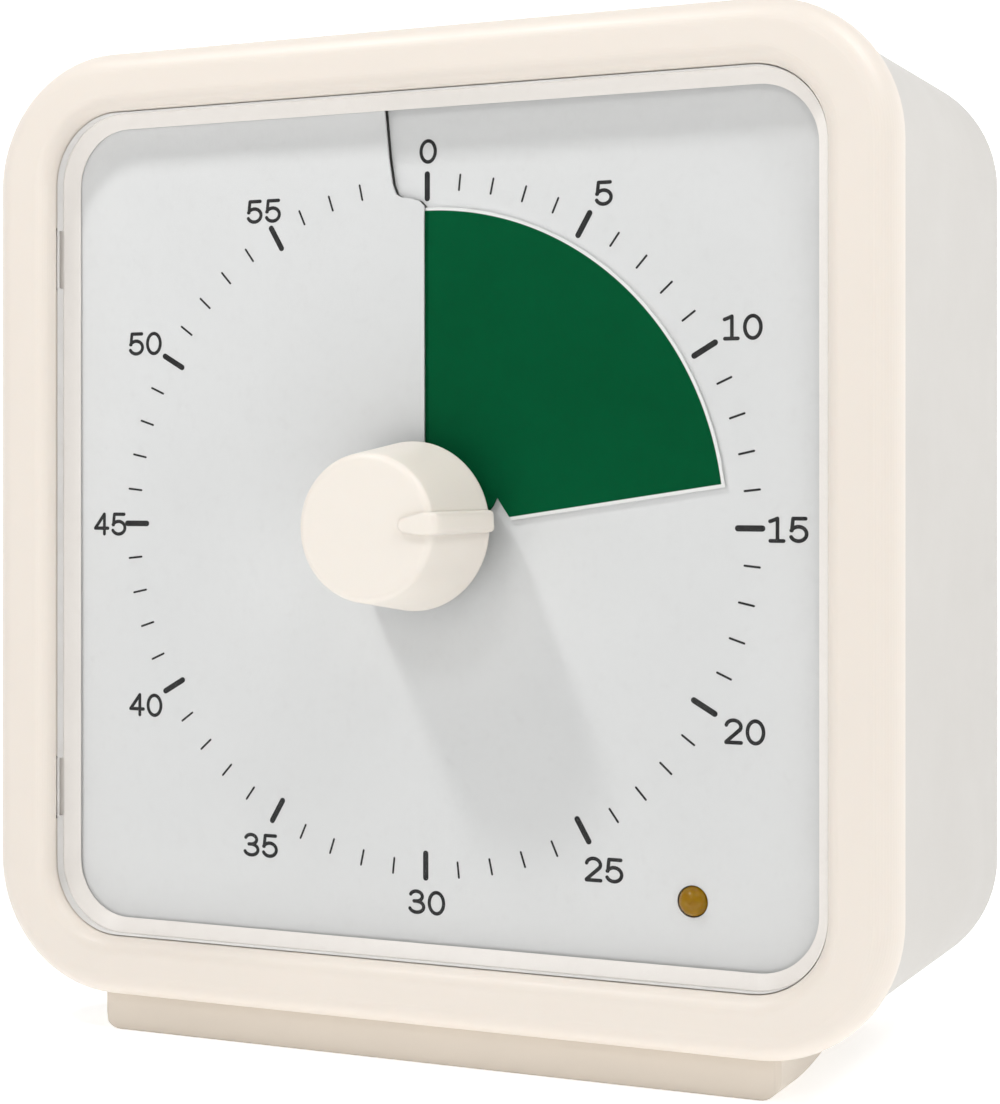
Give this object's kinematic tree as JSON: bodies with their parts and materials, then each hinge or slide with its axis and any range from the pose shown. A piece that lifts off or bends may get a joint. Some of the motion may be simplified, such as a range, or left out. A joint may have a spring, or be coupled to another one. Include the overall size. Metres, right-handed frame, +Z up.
{
  "type": "kitchen timer",
  "caption": "Square visual countdown timer with a round pointer knob, a coloured disc that winds out of a slit dial, a clear window and a tapered foot.",
  "frame": {"origin": "middle of the bounding box's base, on the surface that the foot rests on", "axes": "-Y out of the dial towards the user, +Z up, +X to the user's right"},
  "size_m": [0.1, 0.0556, 0.104],
  "materials": {
    "cream_shell": "fine satin moulded plastic",
    "cream_knob": "smooth satin moulded plastic",
    "rear_shell": "fine spark-eroded texture",
    "foot_plastic": "matte moulded plastic",
    "clear_lens": "clear moulded plastic window",
    "surround": "satin moulded plastic",
    "dial_card": "printed matt card",
    "disc_green": "printed matt sheet with a white edge",
    "inner_plastic": "matte moulded plastic",
    "movement_plastic": "matte moulded plastic",
    "gear_plastic": "waxy acetal",
    "brass_wheel": "stamped brass",
    "steel": "plain steel",
    "bright_metal": "bright nickel plate",
    "magnet": "dark sintered magnet",
    "copper": "enamelled copper wire",
    "board": "green solder mask",
    "amber_lamp": "tinted clear epoxy",
    "black_plastic": "matte moulded plastic",
    "battery_wrap": "plain shrink-wrapped steel can",
    "lead_wire": "insulated hook-up wire"
  },
  "bodies": {
    "case_group": {"front_bezel": "cream_shell", "rear_case": "rear_shell", "foot": "foot_plastic", "lens": "clear_lens", "dial_surround": "surround", "dial_card": "dial_card", "dial_spacer": "inner_plastic", "chassis": "inner_plastic", "movement_front_case": "movement_plastic", "movement_back_case": "movement_plastic", "stator": "steel", "coil_bobbin": "black_plastic", "coil_winding": "copper", "circuit_board": "board", "alarm_lamp": "amber_lamp", "control_chip": "black_plastic", "quartz_crystal": "bright_metal", "buzzer": "black_plastic", "switch_body": "steel", "battery": "battery_wrap", "battery_spring": "bright_metal", "battery_contact": "bright_metal", "case_screws": "steel", "movement_screws": "steel", "board_screws": "steel", "foot_screws": "steel", "battery_leads": "lead_wire"},
    "knob_group": {"knob": "cream_knob", "spindle": "steel", "centre_wheel": "brass_wheel", "clutch_spring": "steel", "clutch_clip": "steel"},
    "disc_group": {"disc_hub": "gear_plastic", "timer_disc": "disc_green"},
    "third_wheel_group": {"third_wheel": "gear_plastic"},
    "second_wheel_group": {"second_wheel": "gear_plastic"},
    "rotor_group": {"rotor": "magnet"},
    "volume_slider": {"switch_slider": "black_plastic"},
    "door_group": {"battery_door": "rear_shell"}
  },
  "joints": [
    {"name": "timer_turn", "type": "hinge", "parent": "case_group", "child": "knob_group", "pos_m": [0, -0.01385, 0.054], "axis": [0, 1, 0], "range_deg": [-82, 277]},
    {"name": "disc_rise", "type": "slide", "parent": "knob_group", "child": "disc_group", "axis": [0, -1, 0], "range_m": [-0.00017, 0.00055]},
    {"name": "third_wheel_turn", "type": "hinge", "parent": "case_group", "child": "third_wheel_group", "pos_m": [-0.0099, -0.00385, 0.0639], "axis": [0, 1, 0], "range_deg": [-1664, 494]},
    {"name": "second_wheel_turn", "type": "hinge", "parent": "case_group", "child": "second_wheel_group", "pos_m": [-0.00377, -0.00385, 0.07451], "axis": [0, 1, 0], "range_deg": [-2962, 9982]},
    {"name": "rotor_turn", "type": "hinge", "parent": "case_group", "child": "rotor_group", "pos_m": [0.00523, -0.00385, 0.07451], "axis": [0, 1, 0], "range_deg": [-49910, 14810]},
    {"name": "volume_slide", "type": "slide", "parent": "case_group", "child": "volume_slider", "axis": [1, 0, 0], "range_m": [-0.002, 0.002]},
    {"name": "door_pull", "type": "slide", "parent": "case_group", "child": "door_group", "axis": [0, 1, 0], "range_m": [0, 0.02]}
  ],
  "couplings": [
    {"joint": "disc_rise", "follows": "timer_turn", "m_per_rad": 0.00011141},
    {"joint": "third_wheel_turn", "follows": "timer_turn", "ratio": -6},
    {"joint": "second_wheel_turn", "follows": "timer_turn", "ratio": 36},
    {"joint": "rotor_turn", "follows": "timer_turn", "ratio": -180}
  ]
}
